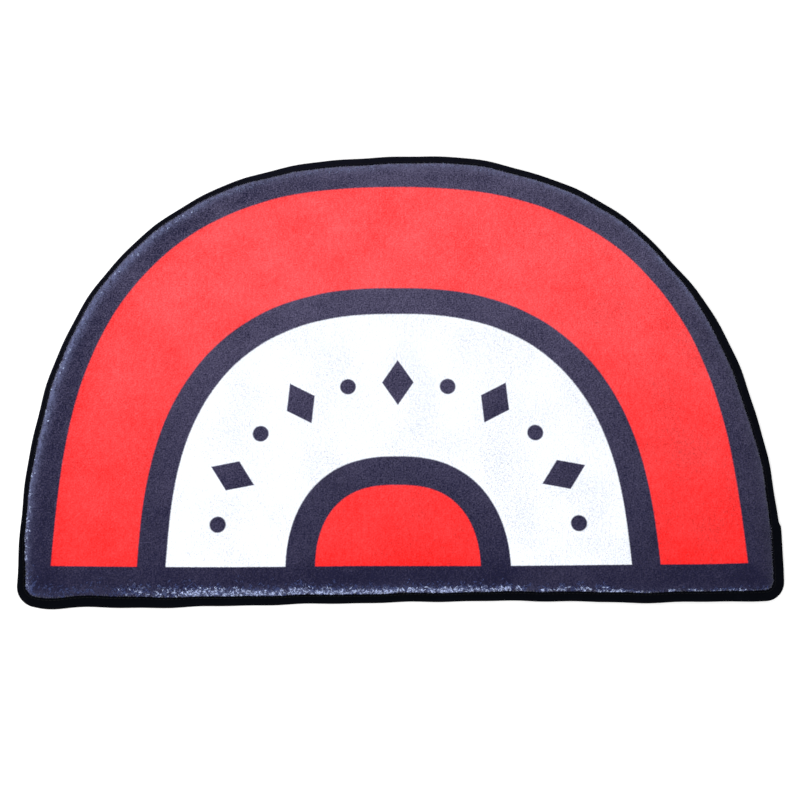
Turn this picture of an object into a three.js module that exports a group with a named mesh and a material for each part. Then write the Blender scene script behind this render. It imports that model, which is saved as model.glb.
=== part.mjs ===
import * as THREE from "three";

// Half-round bath mat, lying flat: one padded pile body, and a black tape folded round its edge.
// Millimetres, +Z up. The straight edge faces -Y, the arch rises towards +Y, and the origin is on the
// floor under the middle of the mat's bounding box.

// Driving dimensions
const HALF_WIDTH = 400; // half of the straight edge
const ARCH_RISE = 463; // from the foot line, where the sides stand upright, to the crown
const FOOT_RISE = 38; // from the straight edge up to the foot line
const SIDE_POWER = 2.39; // superellipse exponent across the arch, over 2 for full shoulders
const CROWN_POWER = 2.45; // and the one up the arch
const CORNER_RADIUS = 20;
const LEAST_CORNER_RADIUS = 2; // what is left of a corner on the inner rings
const PAD_HEIGHT = 12; // of the pile over the floor
const SHOULDER_WIDTH = 22; // over which the pile rolls down to the tape
const LIP_THICKNESS = 2.4; // of the pad where it is pressed flat inside the tape
const TAPE_THICKNESS = 1.4;
const FOLD_DEPTH = 2.2; // how deep the round of the tape's fold is, from its outer edge inwards
const GAP = 0.3; // between the tape and the pad

// How many steps each stretch of the outline has
const ARCH_STEPS = 96;
const CORNER_STEPS = 7;
const FRONT_STEPS = 32;
const SHOULDER_STEPS = 6;
const FOLD_STEPS = 4;

// The edge as sewn: at is the share of the way round, anticlockwise from the right foot, drift is how far
// the edge stands out from the drawn outline, and tape is the width of tape that shows there.
const SEWN_EDGE = [
  { at: 0.0, drift: -0.1, tape: 11.4 },
  { at: 0.04, drift: -1.3, tape: 8.7 },
  { at: 0.08, drift: -3.5, tape: 10.2 },
  { at: 0.12, drift: -3.6, tape: 9.6 },
  { at: 0.16, drift: -6.3, tape: 6.3 },
  { at: 0.2, drift: -2.7, tape: 7.1 },
  { at: 0.24, drift: -2.2, tape: 7.7 },
  { at: 0.28, drift: 0.8, tape: 8.6 },
  { at: 0.32, drift: -1.6, tape: 9.1 },
  { at: 0.36, drift: -1.1, tape: 8.6 },
  { at: 0.4, drift: 1.3, tape: 6.7 },
  { at: 0.44, drift: 3.2, tape: 6.0 },
  { at: 0.48, drift: 4.6, tape: 5.8 },
  { at: 0.52, drift: 3.8, tape: 6.4 },
  { at: 0.56, drift: 1.7, tape: 6.6 },
  { at: 0.6, drift: 0.4, tape: 5.8 },
  { at: 0.64, drift: -1.3, tape: 10.4 },
  { at: 0.68, drift: 4.0, tape: 11.5 },
  { at: 0.72, drift: 3.0, tape: 9.9 },
  { at: 0.76, drift: 1.2, tape: 9.4 },
  { at: 0.8, drift: -0.1, tape: 9.1 },
  { at: 0.84, drift: -1.3, tape: 9.2 },
  { at: 0.88, drift: -1.0, tape: 9.7 },
  { at: 0.92, drift: 1.1, tape: 10.4 },
  { at: 0.96, drift: 0.1, tape: 10.6 },
];
// Beside its left corner the straight edge stands out further, over a short stretch
const FLARE = { at: 0.648, reach: 0.011, height: 5.6 };
// Small ripples of the hand-fed seam, on top of the drift: waves round the edge and their height
const RIPPLES = [
  { waves: 23, height: 0.35, phase: 0.4 },
  { waves: 41, height: 0.25, phase: 2.1 },
];

const LIP_BOTTOM = TAPE_THICKNESS + GAP;
const LIP_TOP = LIP_BOTTOM + LIP_THICKNESS;
const TAPE_HEIGHT = LIP_TOP + GAP + TAPE_THICKNESS;

// A column of the sewn edge at any share of the way round, as a closed Catmull-Rom curve.
function sewnEdge(column, share) {
  const place = share * SEWN_EDGE.length;
  const row = Math.floor(place);
  const [before, from, to, after] = [-1, 0, 1, 2].map(
    (step) => SEWN_EDGE[(row + step + SEWN_EDGE.length) % SEWN_EDGE.length][column],
  );
  const t = place - row;
  const slopeFrom = (to - before) / 2;
  const slopeTo = (after - from) / 2;
  return (
    from * (2 * t ** 3 - 3 * t ** 2 + 1) +
    slopeFrom * (t ** 3 - 2 * t ** 2 + t) +
    to * (3 * t ** 2 - 2 * t ** 3) +
    slopeTo * (t ** 3 - t ** 2)
  );
}

const flare = (share) => FLARE.height * Math.exp(-(((share - FLARE.at) / FLARE.reach) ** 2));

function ripple(share) {
  return RIPPLES.reduce(
    (sum, { waves, height, phase }) => sum + height * Math.sin(2 * Math.PI * waves * share + phase),
    0,
  );
}

const cornerRadius = (inset) => Math.max(CORNER_RADIUS - inset, LEAST_CORNER_RADIUS);

// The drawn outline in six stretches, anticlockwise from the right foot. Each gives the point a share t of
// the way along it, on the ring that lies inset inside the outline. The foot line is at y = 0.
function archPoint(t, inset) {
  const across = Math.cos(Math.PI * t);
  const up = Math.sin(Math.PI * t);
  return new THREE.Vector2(
    (HALF_WIDTH - inset) * Math.sign(across) * Math.abs(across) ** (2 / SIDE_POWER),
    (ARCH_RISE - inset) * up ** (2 / CROWN_POWER),
  );
}

function sidePoint(t, inset, side) {
  const lowest = inset - FOOT_RISE + cornerRadius(inset);
  return new THREE.Vector2(side * (HALF_WIDTH - inset), lowest * t);
}

function cornerPoint(t, inset, side) {
  const radius = cornerRadius(inset);
  const turn = (Math.PI / 2) * t;
  return new THREE.Vector2(
    side * (HALF_WIDTH - inset - radius + radius * Math.cos(turn)),
    inset - FOOT_RISE + radius - radius * Math.sin(turn),
  );
}

function frontPoint(t, inset) {
  const reach = HALF_WIDTH - inset - cornerRadius(inset);
  return new THREE.Vector2(reach * (2 * t - 1), inset - FOOT_RISE);
}

const LEFT = -1;
const RIGHT = 1;
const STRETCHES = [
  { steps: ARCH_STEPS, point: archPoint },
  { steps: 1, point: (t, inset) => sidePoint(t, inset, LEFT) },
  { steps: CORNER_STEPS, point: (t, inset) => cornerPoint(t, inset, LEFT) },
  { steps: FRONT_STEPS, point: frontPoint },
  { steps: CORNER_STEPS, point: (t, inset) => cornerPoint(1 - t, inset, RIGHT) },
  { steps: 1, point: (t, inset) => sidePoint(1 - t, inset, RIGHT) },
];

// Every stop on the way round: its stretch, its place on the stretch, its share of the whole way, and the
// outward normal of the drawn outline there.
function makeStops() {
  const stops = STRETCHES.flatMap(({ steps, point }) =>
    Array.from({ length: steps }, (_, i) => ({ point, t: i / steps, drawn: point(i / steps, 0) })),
  );
  const lengths = stops.map(({ drawn }, i) => drawn.distanceTo(stops[(i + 1) % stops.length].drawn));
  const wholeWay = lengths.reduce((sum, length) => sum + length, 0);
  let way = 0;
  stops.forEach((stop, i) => {
    const before = stops[(i + stops.length - 1) % stops.length].drawn;
    const after = stops[(i + 1) % stops.length].drawn;
    const along = after.clone().sub(before).normalize();
    stop.outward = new THREE.Vector2(along.y, -along.x);
    stop.share = way / wholeWay;
    stop.drift = sewnEdge("drift", stop.share) + flare(stop.share) + ripple(stop.share);
    stop.tape = sewnEdge("tape", stop.share);
    way += lengths[i];
  });
  return stops;
}

const STOPS = makeStops();

// The closed ring of points at a height, at an inset that may differ from stop to stop.
function ring(insetAt, z) {
  return STOPS.map((stop) => {
    const p = stop.point(stop.t, insetAt(stop)).addScaledVector(stop.outward, stop.drift);
    return new THREE.Vector3(p.x, p.y, z);
  });
}

// Joins each ring to the next with triangles. A closed loft also joins the last ring to the first, and an
// open one fills its first and last ring. Rings run anticlockwise, and the loft goes down round the outside.
function loft(rings, closed) {
  const count = rings[0].length;
  const faces = [];
  const bands = closed ? rings.length : rings.length - 1;
  for (let band = 0; band < bands; band++) {
    const upper = band * count;
    const lower = ((band + 1) % rings.length) * count;
    for (let i = 0; i < count; i++) {
      const next = (i + 1) % count;
      faces.push(upper + i, lower + i, lower + next, upper + i, lower + next, upper + next);
    }
  }
  if (!closed) {
    const last = (rings.length - 1) * count;
    for (const [a, b, c] of THREE.ShapeUtils.triangulateShape(rings[0], [])) faces.push(a, b, c);
    for (const [a, b, c] of THREE.ShapeUtils.triangulateShape(rings.at(-1), [])) {
      faces.push(last + a, last + c, last + b);
    }
  }
  const geometry = new THREE.BufferGeometry().setFromPoints(rings.flat());
  geometry.setIndex(faces);
  geometry.computeVertexNormals();
  return geometry;
}

// The pad: a flat top, a shoulder that rolls down to the seam as a quarter ellipse, a thin lip that goes into
// the tape, and a flat underside on the floor.
function makePad() {
  const seam = (stop) => stop.tape + GAP;
  const shoulder = Array.from({ length: SHOULDER_STEPS + 1 }, (_, i) => {
    const turn = ((Math.PI / 2) * i) / SHOULDER_STEPS;
    const inward = SHOULDER_WIDTH * (1 - Math.sin(turn));
    return ring((stop) => seam(stop) + inward, LIP_TOP + (PAD_HEIGHT - LIP_TOP) * Math.cos(turn));
  });
  const lipEnd = () => TAPE_THICKNESS + GAP;
  return loft(
    [...shoulder, ring(lipEnd, LIP_TOP), ring(lipEnd, LIP_BOTTOM), ring(seam, LIP_BOTTOM), ring(seam, 0)],
    false,
  );
}

// The tape: a U folded over the pad's lip, lying on the floor. The section runs out along the upper leg,
// round the fold as half an ellipse, in along the floor, and back round the inside of the fold.
function makeTape() {
  const width = (stop) => stop.tape;
  const fold = Array.from({ length: FOLD_STEPS + 1 }, (_, i) => {
    const turn = Math.PI * (0.5 - i / FOLD_STEPS);
    return { inset: () => FOLD_DEPTH * (1 - Math.cos(turn)), z: (TAPE_HEIGHT / 2) * (1 + Math.sin(turn)) };
  });
  const section = [
    { inset: width, z: TAPE_HEIGHT },
    ...fold,
    { inset: width, z: 0 },
    { inset: width, z: TAPE_THICKNESS },
    { inset: () => TAPE_THICKNESS, z: TAPE_THICKNESS },
    { inset: () => TAPE_THICKNESS, z: TAPE_HEIGHT - TAPE_THICKNESS },
    { inset: width, z: TAPE_HEIGHT - TAPE_THICKNESS },
  ];
  return loft(
    section.map(({ inset, z }) => ring(inset, z)),
    true,
  );
}

function named(name, geometry, material) {
  const mesh = new THREE.Mesh(geometry, material);
  mesh.name = name;
  return mesh;
}

const printedPile = new THREE.MeshStandardMaterial({ color: 0xf0464b, roughness: 0.85, metalness: 0 });
const blackTape = new THREE.MeshStandardMaterial({ color: 0x0d0d11, roughness: 0.8, metalness: 0 });

const mat = new THREE.Group();
mat.add(named("pile_pad", makePad(), printedPile));
mat.add(named("edge_tape", makeTape(), blackTape));

// The outline is drawn from the foot line, so the group is moved to put the box's middle over the origin.
const boxMiddle = new THREE.Box3().setFromObject(mat, true).getCenter(new THREE.Vector3());
mat.position.set(-boxMiddle.x, -boxMiddle.y, 0);

export default mat;
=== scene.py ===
import math

import bpy
import numpy as np
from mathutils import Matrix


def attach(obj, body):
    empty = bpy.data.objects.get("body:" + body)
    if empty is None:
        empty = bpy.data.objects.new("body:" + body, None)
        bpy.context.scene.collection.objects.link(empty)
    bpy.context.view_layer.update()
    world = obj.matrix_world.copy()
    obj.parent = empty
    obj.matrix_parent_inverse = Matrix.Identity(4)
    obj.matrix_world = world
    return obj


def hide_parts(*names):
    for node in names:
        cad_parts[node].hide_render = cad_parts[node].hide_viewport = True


# Half-round bath mat lying on a pale floor: a short printed pile on a padded body, a black tape folded round
# its edge and sewn down. Sizes are in millimetres, and only make_object turns them into metres.

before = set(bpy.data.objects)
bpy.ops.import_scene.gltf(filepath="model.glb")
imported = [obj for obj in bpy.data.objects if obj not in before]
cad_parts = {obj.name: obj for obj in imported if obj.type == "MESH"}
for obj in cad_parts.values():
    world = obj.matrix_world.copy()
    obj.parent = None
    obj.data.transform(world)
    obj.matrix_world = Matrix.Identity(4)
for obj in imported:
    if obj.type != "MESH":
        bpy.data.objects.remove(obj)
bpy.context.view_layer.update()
MM = 0.001

# The mat's outline, the same as the solids'
HALF_WIDTH = 400
ARCH_RISE = 463
FOOT_RISE = 38
SIDE_POWER = 2.39
CROWN_POWER = 2.45
CORNER_RADIUS = 20
LEAST_CORNER_RADIUS = 2
PAD_HEIGHT = 12
PILE_DEPTH = 0.9  # how far the pile's roots lie under its tips
SHOULDER_WIDTH = 22
LIP_THICKNESS = 2.4
TAPE_THICKNESS = 1.4
FOLD_DEPTH = 2.2
GAP = 0.3
LIP_BOTTOM = TAPE_THICKNESS + GAP
LIP_TOP = LIP_BOTTOM + LIP_THICKNESS
TAPE_HEIGHT = LIP_TOP + GAP + TAPE_THICKNESS

# The edge as sewn: at is the share of the way round, anticlockwise from the right foot, drift is how far
# the edge stands out from the drawn outline, and tape is the width of tape that shows there.
SEWN_EDGE = [
    {"at": 0.0, "drift": -0.1, "tape": 11.4},
    {"at": 0.04, "drift": -1.3, "tape": 8.7},
    {"at": 0.08, "drift": -3.5, "tape": 10.2},
    {"at": 0.12, "drift": -3.6, "tape": 9.6},
    {"at": 0.16, "drift": -6.3, "tape": 6.3},
    {"at": 0.2, "drift": -2.7, "tape": 7.1},
    {"at": 0.24, "drift": -2.2, "tape": 7.7},
    {"at": 0.28, "drift": 0.8, "tape": 8.6},
    {"at": 0.32, "drift": -1.6, "tape": 9.1},
    {"at": 0.36, "drift": -1.1, "tape": 8.6},
    {"at": 0.4, "drift": 1.3, "tape": 6.7},
    {"at": 0.44, "drift": 3.2, "tape": 6.0},
    {"at": 0.48, "drift": 4.6, "tape": 5.8},
    {"at": 0.52, "drift": 3.8, "tape": 6.4},
    {"at": 0.56, "drift": 1.7, "tape": 6.6},
    {"at": 0.6, "drift": 0.4, "tape": 5.8},
    {"at": 0.64, "drift": -1.3, "tape": 10.4},
    {"at": 0.68, "drift": 4.0, "tape": 11.5},
    {"at": 0.72, "drift": 3.0, "tape": 9.9},
    {"at": 0.76, "drift": 1.2, "tape": 9.4},
    {"at": 0.8, "drift": -0.1, "tape": 9.1},
    {"at": 0.84, "drift": -1.3, "tape": 9.2},
    {"at": 0.88, "drift": -1.0, "tape": 9.7},
    {"at": 0.92, "drift": 1.1, "tape": 10.4},
    {"at": 0.96, "drift": 0.1, "tape": 10.6},
]
# Beside its left corner the straight edge stands out further, over a short stretch
FLARE = {"at": 0.648, "reach": 0.011, "height": 5.6}
RIPPLES = [
    {"waves": 23, "height": 0.35, "phase": 0.4},
    {"waves": 41, "height": 0.25, "phase": 2.1},
]

# Where the tape's ends lap over each other: the edge stands out a little there, and falls back slowly on
# the corner's side of it and at once on the other
TAPE_LAP = {"at": 0.0172, "before": 0.012, "after": 0.0016, "height": 1.9}
LAP_DEPTH = 5  # how far in from the edge the lap shows
# The share of the way round, to either side, over which the edge's direction is taken
DIRECTION_STEP = 0.0008

# Light painted on the shoulder's pile: at is the share of the way round, shine is how strongly the pile that
# rolls over the edge catches the light, a painted highlight, peak is how far in from the seam it is
# strongest, and painted_shade is how much darker it is painted behind the peak, or lighter where it is below
# 0.
SHOULDER_LOOK = [
    {"at": 0.0, "shine": 0.03, "peak": 2.5, "painted_shade": 0.0},
    {"at": 0.1, "shine": 0.07, "peak": 2.5, "painted_shade": 0.02},
    {"at": 0.15, "shine": 0.4, "peak": 1.8, "painted_shade": 0.08},
    {"at": 0.22, "shine": 0.34, "peak": 2.2, "painted_shade": 0.1},
    {"at": 0.3, "shine": 0.22, "peak": 4.0, "painted_shade": 0.1},
    {"at": 0.38, "shine": 0.26, "peak": 3.6, "painted_shade": 0.26},
    {"at": 0.46, "shine": 0.82, "peak": 5.4, "painted_shade": 0.36},
    {"at": 0.53, "shine": 0.78, "peak": 3.9, "painted_shade": 0.24},
    {"at": 0.59, "shine": 0.44, "peak": 2.4, "painted_shade": 0.18},
    {"at": 0.63, "shine": 0.1, "peak": 2.4, "painted_shade": 0.12},
    {"at": 0.68, "shine": 0.03, "peak": 5.0, "painted_shade": 0.03},
    {"at": 0.73, "shine": 0.24, "peak": 3.4, "painted_shade": 0.05},
    {"at": 0.8, "shine": 0.24, "peak": 3.0, "painted_shade": 0.11},
    {"at": 0.855, "shine": 0.1, "peak": 2.7, "painted_shade": 0.11},
    {"at": 0.88, "shine": 0.06, "peak": 2.6, "painted_shade": -0.03},
    {"at": 0.91, "shine": 0.05, "peak": 2.5, "painted_shade": -0.03},
    {"at": 0.94, "shine": 0.03, "peak": 2.3, "painted_shade": 0.05},
    {"at": 0.96, "shine": 0.03, "peak": 2.2, "painted_shade": 0.04},
    {"at": 0.985, "shine": 0.03, "peak": 2.2, "painted_shade": 0.14},
]
SHINE_RISE = 2.4  # how far the shine takes to come up between the seam and its peak
SHINE_FALL = 4.2  # how far it takes to die away behind the peak
PAINTED_SHADE_PLACE = 17  # how far in from the seam the painted shade is deepest
PAINTED_SHADE_WIDTH = 12  # how far it reaches to either side

# The print, from the outside in: each arch is a superellipse standing on the print's base line
ARCHES = {
    "outer": {"half_width": 358.4, "rise": 421.8, "side_power": 2.49, "crown_power": 2.64, "middle": -1.0},
    "middle": {"half_width": 268.4, "rise": 303.0, "side_power": 2.46, "crown_power": 2.48, "middle": -1.7},
    "white": {"half_width": 238.4, "rise": 273.1, "side_power": 2.49, "crown_power": 2.57, "middle": -1.7},
    "inner": {"half_width": 115.0, "rise": 115.2, "side_power": 2.47, "crown_power": 2.11, "middle": -2.2},
    "heart": {"half_width": 84.4, "rise": 84.3, "side_power": 2.65, "crown_power": 2.17, "middle": -2.4},
}
# The print leans to the left with its height, and its feet splay towards the base line
PRINT_LEAN = 3.7 / 300
SPLAY = {"left": 3.5, "right": 3.9, "reach": 75}
# The base line's sag over the foot line: flat in the middle, with a wave on it, and lifted at the ends
SAG = 0.82
SAG_FALL = 1.6  # how much of it is gone at SAG_HALF_WIDTH from the middle
SAG_HALF_WIDTH = 350
SAG_POWER = 6
SAG_WAVE = {"height": 0.25, "length": 260, "crest": 95}
# The row of dots and lozenges along the middle of the white band
ROW_HALF_WIDTH = 191.7
ROW_RISE = 196
ROW_POWER = 2.3
ROW_FOOT = 43  # height of its end dots over the base line
ROW_COUNT = 11
ROW_FINENESS = 2001  # points tried along that line
DOT_RADIUS = 8.5
LOZENGE_HALF_WIDTH = 17
LOZENGE_HALF_HEIGHT = 25

# Ink colours, each as a shaded deep copy and a lit pale copy, for painted shade and painted sheen
INKS = {
    "red": {"deep": (0.9, 0.0105, 0.0095), "pale": (0.97, 0.118, 0.129)},
    "navy": {"deep": (0.0075, 0.007, 0.033), "pale": (0.105, 0.094, 0.168)},
    "white": {"deep": (0.85, 0.882, 0.958), "pale": (0.86, 0.892, 0.968)},
}
GRAIN = {"red": 1.3, "navy": 2.3, "white": 0.9}  # how strongly each ink's fine grain shows
# Colours of painted light: the shoulder's shine, a painted highlight, and the strands' painted glints and
# sheen
SHINE = (0.135, 0.152, 0.295)
PAINTED_GLINT = (0.54, 0.63, 0.94)
PAINTED_BLUE_SHEEN = (0.022, 0.038, 0.155)
PAINTED_PALE_SHEEN = (0.125, 0.147, 0.29)
TAPE_DARK = (0.0014, 0.0018, 0.0032)
TAPE_LIGHT = (0.0055, 0.0058, 0.011)
THREAD_BLACK = (0.0018, 0.002, 0.003)
UNDERSIDE_GREY = (0.03, 0.03, 0.034)

# The camera over the mat, from the fitted perspective
LENS = 54
SENSOR = 36
CAMERA_HEIGHT = 1263
CAMERA_BACK = 124  # behind the foot line
CAMERA_LEFT = 0.8  # of the outline's middle
CAMERA_TILT = 13.5  # degrees from straight down
CAMERA_TURN = -0.26

AROUND = 1200  # dense stops round the edge
WALK_POINTS = 6001  # of the fine walk along the drawn outline
TOP_RINGS = 46
SHOULDER_RINGS = 13
LEFT, RIGHT = -1, 1
rng = np.random.default_rng(11)


def corner_radius(inset):
    return np.maximum(CORNER_RADIUS - inset, LEAST_CORNER_RADIUS)


# The drawn outline in six stretches, anticlockwise from the right foot, as in the solids. Each gives the
# points a share t of the way along it, on the ring that lies inset inside the outline.
def arch_points(t, inset):
    across = np.cos(np.pi * t)
    up = np.abs(np.sin(np.pi * t))
    x = (HALF_WIDTH - inset) * np.sign(across) * np.abs(across) ** (2 / SIDE_POWER)
    return np.stack([x, (ARCH_RISE - inset) * up ** (2 / CROWN_POWER)], -1)


def side_points(t, inset, side):
    lowest = inset - FOOT_RISE + corner_radius(inset)
    return np.stack([side * (HALF_WIDTH - inset), lowest * t], -1)


def corner_points(t, inset, side):
    radius = corner_radius(inset)
    turn = np.pi / 2 * t
    x = side * (HALF_WIDTH - inset - radius + radius * np.cos(turn))
    return np.stack([x, inset - FOOT_RISE + radius - radius * np.sin(turn)], -1)


def front_points(t, inset):
    reach = HALF_WIDTH - inset - corner_radius(inset)
    return np.stack([reach * (2 * t - 1), inset - FOOT_RISE], -1)


STRETCHES = [
    arch_points,
    lambda t, inset: side_points(t, inset, LEFT),
    lambda t, inset: corner_points(t, inset, LEFT),
    front_points,
    lambda t, inset: corner_points(1 - t, inset, RIGHT),
    lambda t, inset: side_points(1 - t, inset, RIGHT),
]


def drawn(way, inset):
    """Points on the drawn outline. way runs from 0 to 6: the stretch and the share of it."""
    way = np.mod(way, len(STRETCHES))
    inset = np.broadcast_to(np.asarray(inset, float), way.shape)
    points = np.zeros((len(way), 2))
    for number, stretch in enumerate(STRETCHES):
        here = np.floor(way) == number
        points[here] = stretch(way[here] - number, inset[here])
    return points


def sewn_edge(column, share):
    """A column of the sewn edge at any share of the way round, as a closed Catmull-Rom curve."""
    values = np.array([row[column] for row in SEWN_EDGE])
    place = np.asarray(share) * len(values)
    row = np.floor(place).astype(int)
    t = place - row
    before, start, end, after = (values[(row + step) % len(values)] for step in (-1, 0, 1, 2))
    return (
        start * (2 * t**3 - 3 * t**2 + 1)
        + (end - before) / 2 * (t**3 - 2 * t**2 + t)
        + end * (3 * t**2 - 2 * t**3)
        + (after - start) / 2 * (t**3 - t**2)
    )


def flare(share):
    return FLARE["height"] * np.exp(-(((share - FLARE["at"]) / FLARE["reach"]) ** 2))


def ripple(share):
    return sum(r["height"] * np.sin(2 * np.pi * r["waves"] * share + r["phase"]) for r in RIPPLES)


# How the share of the way round follows the stretches, from a fine walk along the drawn outline
WALK = np.linspace(0, len(STRETCHES), WALK_POINTS)
STEPS = np.diff(drawn(WALK, 0), axis=0)
WALKED = np.concatenate([[0], np.cumsum(np.hypot(STEPS[:, 0], STEPS[:, 1]))])
PERIMETER = WALKED[-1]


def drawn_at(share):
    """Points on the drawn outline at a share of the way round."""
    return drawn(np.interp(np.mod(share, 1) * PERIMETER, WALKED, WALK), 0)


def lap(share):
    """How far the edge stands out where the tape's ends lap."""
    gap = np.mod(share - TAPE_LAP["at"] + 0.5, 1) - 0.5
    reach = np.where(gap < 0, TAPE_LAP["before"], TAPE_LAP["after"])
    return TAPE_LAP["height"] * np.exp(-((gap / reach) ** 2))


def edge_points(share, inset):
    """Points at a share of the way round and an inset from the sewn edge, before they are centred."""
    share = np.mod(share, 1)
    way = np.interp(share * PERIMETER, WALKED, WALK)
    along = drawn_at(share + DIRECTION_STEP) - drawn_at(share - DIRECTION_STEP)
    along /= np.linalg.norm(along, axis=1, keepdims=True)
    outward = np.stack([along[:, 1], -along[:, 0]], -1)
    drift = sewn_edge("drift", share) + flare(share) + ripple(share)
    drift = drift + lap(share) * np.clip(1 - np.asarray(inset) / LAP_DEPTH, 0, 1)
    return drawn(way, inset) + outward * drift[:, None], outward


SHARES = np.arange(AROUND) / AROUND
RIM = edge_points(SHARES, 0.0)[0]
CENTRE = (RIM.min(axis=0) + RIM.max(axis=0)) / 2
TAPE = sewn_edge("tape", SHARES)

NOISE_WAVES = 9
NOISE_PITCH = (0.7, 1.6)  # each wave's length, from the shortest to the longest, in sizes of the bumps
NOISE_PHASE = 6.3  # the latest start of a wave, about a full turn


def smooth_noise(x, y, size, seed):
    """Soft bumps, mostly from -1 to 1 and about size apart: a sum of waves in seeded directions."""
    waves = np.random.default_rng(seed)
    total = np.zeros_like(x)
    for _ in range(NOISE_WAVES):
        heading = waves.uniform(0, 2 * np.pi)
        pitch = size * waves.uniform(*NOISE_PITCH)
        way = x * np.cos(heading) + y * np.sin(heading)
        total += np.sin(2 * np.pi * way / pitch + waves.uniform(0, NOISE_PHASE))
    return total / math.sqrt(NOISE_WAVES)


def shoulder_height(inward):
    """The pile's height over the floor at a distance in from the seam: a quarter ellipse, then flat."""
    rest = np.clip(1 - inward / SHOULDER_WIDTH, 0, 1)
    return LIP_TOP + (PAD_HEIGHT - PILE_DEPTH - LIP_TOP) * np.sqrt(1 - rest**2)


# The padding's soft unevenness: bumps of two sizes
UNEVENNESS = [
    {"height": 0.35, "size": 95, "seed": 3},
    {"height": 0.22, "size": 34, "seed": 4},
]


def pile_height(x, y, inward):
    """The shoulder with the padding's soft unevenness, which dies away at the seam."""
    away = np.clip(inward / SHOULDER_WIDTH, 0, 1)
    uneven = sum(row["height"] * smooth_noise(x, y, row["size"], row["seed"]) for row in UNEVENNESS)
    return shoulder_height(inward) + uneven * away


def shoulder_look(shares, inward):
    """The painted highlight and the painted shade of the pile at a share of the way round and a distance in
    from the seam.
    """
    stops = [row["at"] for row in SHOULDER_LOOK]
    shine, peak, painted_shade = (
        np.interp(shares, stops, [row[column] for row in SHOULDER_LOOK], period=1)
        for column in ("shine", "peak", "painted_shade")
    )
    before = np.maximum(peak - inward, 0) / SHINE_RISE
    behind = np.maximum(inward - peak, 0) / SHINE_FALL
    shine = shine * np.exp(-(before**2) / 2 - behind**1.5)
    painted_shade = painted_shade * np.exp(-(((inward - PAINTED_SHADE_PLACE) / PAINTED_SHADE_WIDTH) ** 2) / 2)
    return shine, painted_shade


def make_object(name, points, faces, materials, smooth=True):
    """A mesh object from points in millimetres, centred over the origin, riding on the mat."""
    mesh = bpy.data.meshes.new(name)
    points = np.asarray(points, float) - [CENTRE[0], CENTRE[1], 0]
    mesh.from_pydata((points * MM).tolist(), [], faces)
    mesh.polygons.foreach_set("use_smooth", [smooth] * len(mesh.polygons))
    for material in materials:
        mesh.materials.append(material)
    piece = bpy.data.objects.new(name, mesh)
    bpy.context.collection.objects.link(piece)
    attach(piece, "root")
    return piece


def keep_look(piece, look):
    """Keeps the painted highlight and the painted shade of every point on the mesh, for the pile's material
    to read.
    """
    for name, values in zip(("shine", "painted_shade"), look):
        layer = piece.data.attributes.new(name, "FLOAT", "POINT")
        layer.data.foreach_set("value", np.asarray(values, np.float32))


def band_faces(first, second, count):
    """Quads between two rings of count points, whose first points have these numbers."""
    return [
        (first + i, second + i, second + (i + 1) % count, first + (i + 1) % count) for i in range(count)
    ]


# The pile pad

PAD_MIDDLE = (0, 150)  # where the rings of the top and of the underside close in
INNERMOST_RING = 0.02  # the smallest ring, as a share of the largest
LAST_FLAT_RING = 0.985  # the flat top's last ring, as a share of the shoulder's first
UNDERSIDE_RINGS = (0.9, 0.5, INNERMOST_RING)


def pad_rings():
    """Rings of the pad from the middle of its top, out over the shoulder and the lip, to its underside.

    Each has its places, their heights, their distances in from the seam and the part it belongs to."""
    seam = TAPE + GAP
    rings = []
    crown = edge_points(SHARES, seam + SHOULDER_WIDTH)[0]
    middle = np.array(PAD_MIDDLE)
    for share in np.linspace(INNERMOST_RING, LAST_FLAT_RING, TOP_RINGS):
        flat = middle + (crown - middle) * share
        inward = SHOULDER_WIDTH + np.hypot(*(crown - flat).T)
        rings.append((flat, pile_height(flat[:, 0], flat[:, 1], inward), inward, "top"))
    for turn in np.linspace(0, np.pi / 2, SHOULDER_RINGS):
        inward = np.full(AROUND, SHOULDER_WIDTH * (1 - math.sin(turn)))
        flat = edge_points(SHARES, seam + inward)[0]
        rings.append((flat, pile_height(flat[:, 0], flat[:, 1], inward), inward, "top"))
    none = np.zeros(AROUND)
    lip_end = edge_points(SHARES, np.full(AROUND, TAPE_THICKNESS + GAP))[0]
    under = edge_points(SHARES, seam)[0]
    rings.append((lip_end, none + LIP_TOP, none, "top"))
    rings.append((lip_end, none + LIP_BOTTOM, none, "under"))
    rings.append((under, none + LIP_BOTTOM, none, "under"))
    rings.append((under, none, none, "under"))
    for share in UNDERSIDE_RINGS:
        rings.append((middle + (under - middle) * share, none, none, "under"))
    return rings


def make_pad(materials):
    rings = pad_rings()
    points = [np.column_stack([flat, height]) for flat, height, _, _ in rings]
    faces = []
    for number in range(len(rings) - 1):
        faces += band_faces(number * AROUND, (number + 1) * AROUND, AROUND)
    last = (len(rings) - 1) * AROUND
    top_cap = len(faces)
    faces.append(tuple(range(AROUND)))
    faces.append(tuple(last + i for i in reversed(range(AROUND))))
    pad = make_object("pile_pad_soft", np.concatenate(points), faces, materials)
    keep_look(pad, shoulder_look(np.tile(SHARES, len(rings)), np.concatenate([ring[2] for ring in rings])))
    top_bands = sum(part == "top" for _, _, _, part in rings) - 1
    numbers = np.arange(len(faces))
    under = (numbers >= top_bands * AROUND) & (numbers != top_cap)
    pad.data.polygons.foreach_set("material_index", under.astype(int))
    lay_out_map(pad, under)
    return pad


MAP_WIDTH = 0.84  # metres of the mat from side to side of its flat map
MAP_SQUEEZE = 0.8  # how much the map is flattened, so that the top and the underside fit one over the other
TOP_MIDDLE, UNDERSIDE_MIDDLE = 0.75, 0.25  # where their middles lie in the map's height


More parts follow.
